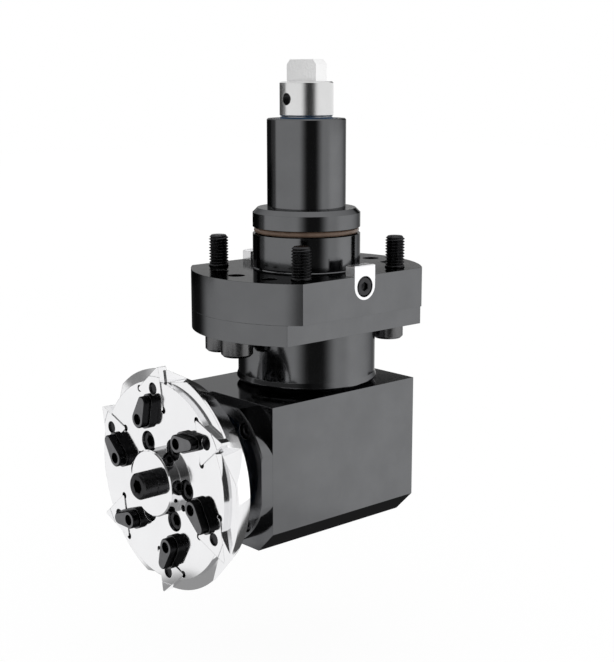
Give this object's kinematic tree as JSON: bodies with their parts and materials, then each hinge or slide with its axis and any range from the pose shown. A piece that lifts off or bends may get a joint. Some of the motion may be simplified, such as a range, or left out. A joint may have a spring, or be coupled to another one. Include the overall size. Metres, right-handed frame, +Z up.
{
  "type": "radial driven tool holder",
  "caption": "Right-angle driven tool holder for a lathe turret: flanged shank with drive tang, bevel gear head and a radial spindle with an indexable cutter head.",
  "frame": {"origin": "centre of the flange's seating face, on the shank's axis", "axes": "+Z up the shank towards the drive tang, the cutter points along -Y, +X to the right of the cutter"},
  "size_m": [0.1084, 0.1673, 0.2551],
  "materials": {
    "black_oxide": "blackened steel, semi-gloss",
    "black_screw": "blackened steel, satin",
    "black_clamp": "blackened steel, satin",
    "polished_steel": "polished bright",
    "ground_steel": "ground bright",
    "turned_steel": "fine turned",
    "blasted_steel": "blasted, matt",
    "bearing_steel": "ground bright",
    "gear_steel": "case hardened",
    "brown_rubber": "satin",
    "navy_rubber": "satin"
  },
  "bodies": {
    "holder": {"shank_housing": "black_oxide", "upper_flange": "black_oxide", "neck_flange": "black_oxide", "neck_screws": "black_screw", "gear_block": "black_oxide", "orientation_keys": "ground_steel", "key_screws": "black_screw", "turret_clamp_screws": "black_screw", "flange_joint_screws": "black_screw", "flange_dowel_pins": "black_screw", "shank_o_ring": "brown_rubber", "shaft_seal": "navy_rubber", "quill_circlip": "black_screw", "quill_bearing_outer_ring": "bearing_steel", "neck_bearing_outer_rings": "bearing_steel", "neck_ring_nut": "black_screw", "front_bearing_outer_rings": "bearing_steel", "rear_bearing_outer_ring": "bearing_steel", "front_cover": "black_oxide", "front_cover_screws": "black_screw", "front_seal": "navy_rubber", "rear_cover": "black_oxide", "rear_cover_screws": "black_screw"},
    "input_drive": {"drive_shaft": "turned_steel", "drive_tang": "blasted_steel", "tang_pin": "black_screw", "quill_bearing_inner_ring": "bearing_steel", "shaft_spacer_sleeve": "turned_steel", "neck_bearing_inner_rings": "bearing_steel", "bevel_pinion": "gear_steel", "pinion_key": "ground_steel", "pinion_washer": "ground_steel", "pinion_screw": "black_screw"},
    "cutter_spindle": {"spindle": "ground_steel", "spindle_gear": "gear_steel", "spindle_gear_key": "ground_steel", "spindle_lock_nut": "black_screw", "front_bearing_inner_rings": "bearing_steel", "rear_bearing_inner_ring": "bearing_steel", "spindle_circlip": "black_screw", "cutter_body": "polished_steel", "cutter_drive_keys": "ground_steel", "cutting_inserts": "polished_steel", "insert_pins": "black_screw", "finger_clamps": "black_clamp", "finger_clamp_screws": "black_screw", "cutter_mount_screws": "black_screw", "retaining_washer": "polished_steel", "centre_screw": "black_screw"}
  },
  "joints": [
    {"name": "input_turn", "type": "hinge", "parent": "holder", "child": "input_drive", "pos_m": [0, 0, 0], "axis": [0, 0, 1], "continuous": true},
    {"name": "spindle_turn", "type": "hinge", "parent": "holder", "child": "cutter_spindle", "pos_m": [0, 0, -0.095], "axis": [0, 1, 0], "continuous": true}
  ],
  "couplings": [
    {"joint": "input_turn", "follows": "spindle_turn", "ratio": 1}
  ]
}
